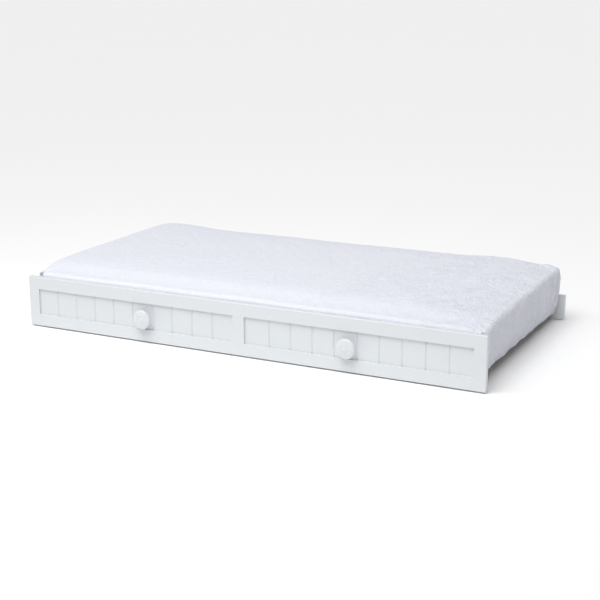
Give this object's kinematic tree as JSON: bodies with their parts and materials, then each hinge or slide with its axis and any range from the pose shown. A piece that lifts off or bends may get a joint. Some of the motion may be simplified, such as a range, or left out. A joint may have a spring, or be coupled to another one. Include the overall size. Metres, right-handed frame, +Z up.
{
  "type": "trundle bed",
  "caption": "Low twin trundle bed with a framed beadboard front, round knobs, a slatted base on fixed casters, and a mattress under a white tucked coverlet.",
  "frame": {"origin": "on the floor, below the middle of the whole bed with its knobs", "axes": "+X along the length, to the right seen from the front; +Y from the knobs towards the rear rail; +Z up"},
  "size_m": [1.8898, 1.047, 0.2512],
  "materials": {
    "white_paint": "satin white paint",
    "white_beadboard": "satin white paint over grooved boards",
    "white_side_board": "satin white paint",
    "white_knob": "semi-gloss white paint",
    "slat_pine": "planed, unfinished",
    "cleat_pine": "planed, unfinished",
    "plated_steel": "zinc plated",
    "screw_steel": "zinc plated",
    "caster_nylon": "moulded, satin",
    "polyester_webbing": "woven tape",
    "mattress_ticking": "quilted woven ticking",
    "coverlet_cotton": "puckered matelasse cotton"
  },
  "bodies": {
    "frame": {"bracket_screws": "screw_steel", "caster_axles": "screw_steel", "caster_screws": "screw_steel", "cleat_screws": "screw_steel", "corner_brackets": "plated_steel", "front_bottom_rail": "white_paint", "front_centre_caster_block": "cleat_pine", "front_centre_caster_bracket": "plated_steel", "front_centre_stile": "white_paint", "front_cleat": "cleat_pine", "front_left_caster_block": "cleat_pine", "front_left_caster_bracket": "plated_steel", "front_left_stile": "white_paint", "front_right_caster_block": "cleat_pine", "front_right_caster_bracket": "plated_steel", "front_right_stile": "white_paint", "front_strap": "polyester_webbing", "front_top_rail": "white_paint", "knob_screws": "screw_steel", "left_beadboard_panel": "white_beadboard", "left_knob": "white_knob", "left_side_board": "white_side_board", "rear_centre_caster_block": "cleat_pine", "rear_centre_caster_bracket": "plated_steel", "rear_cleat": "cleat_pine", "rear_left_caster_block": "cleat_pine", "rear_left_caster_bracket": "plated_steel", "rear_rail": "white_paint", "rear_right_caster_block": "cleat_pine", "rear_right_caster_bracket": "plated_steel", "rear_strap": "polyester_webbing", "right_beadboard_panel": "white_beadboard", "right_knob": "white_knob", "right_side_board": "white_side_board", "slat_01": "slat_pine", "slat_02": "slat_pine", "slat_03": "slat_pine", "slat_04": "slat_pine", "slat_05": "slat_pine", "slat_06": "slat_pine", "slat_07": "slat_pine", "slat_08": "slat_pine", "slat_09": "slat_pine", "slat_10": "slat_pine", "slat_11": "slat_pine", "slat_12": "slat_pine", "slat_screws": "screw_steel", "strap_staples": "screw_steel"},
    "front_left_wheel": {"front_left_wheel": "caster_nylon"},
    "front_centre_wheel": {"front_centre_wheel": "caster_nylon"},
    "front_right_wheel": {"front_right_wheel": "caster_nylon"},
    "rear_left_wheel": {"rear_left_wheel": "caster_nylon"},
    "rear_centre_wheel": {"rear_centre_wheel": "caster_nylon"},
    "rear_right_wheel": {"rear_right_wheel": "caster_nylon"},
    "bedding": {"mattress": "mattress_ticking", "coverlet": "coverlet_cotton"}
  },
  "joints": [
    {"name": "front_left_wheel_spin", "type": "hinge", "parent": "frame", "child": "front_left_wheel", "pos_m": [-0.78, -0.4205, 0.023], "axis": [1, 0, 0], "continuous": true},
    {"name": "front_centre_wheel_spin", "type": "hinge", "parent": "frame", "child": "front_centre_wheel", "pos_m": [0, -0.4205, 0.023], "axis": [1, 0, 0], "continuous": true},
    {"name": "front_right_wheel_spin", "type": "hinge", "parent": "frame", "child": "front_right_wheel", "pos_m": [0.78, -0.4205, 0.023], "axis": [1, 0, 0], "continuous": true},
    {"name": "rear_left_wheel_spin", "type": "hinge", "parent": "frame", "child": "rear_left_wheel", "pos_m": [-0.78, 0.4515, 0.023], "axis": [1, 0, 0], "continuous": true},
    {"name": "rear_centre_wheel_spin", "type": "hinge", "parent": "frame", "child": "rear_centre_wheel", "pos_m": [0, 0.4515, 0.023], "axis": [1, 0, 0], "continuous": true},
    {"name": "rear_right_wheel_spin", "type": "hinge", "parent": "frame", "child": "rear_right_wheel", "pos_m": [0.78, 0.4515, 0.023], "axis": [1, 0, 0], "continuous": true},
    {"name": "mattress_lift", "type": "slide", "parent": "frame", "child": "bedding", "axis": [0, 0, 1], "range_m": [0, 0.3]}
  ]
}
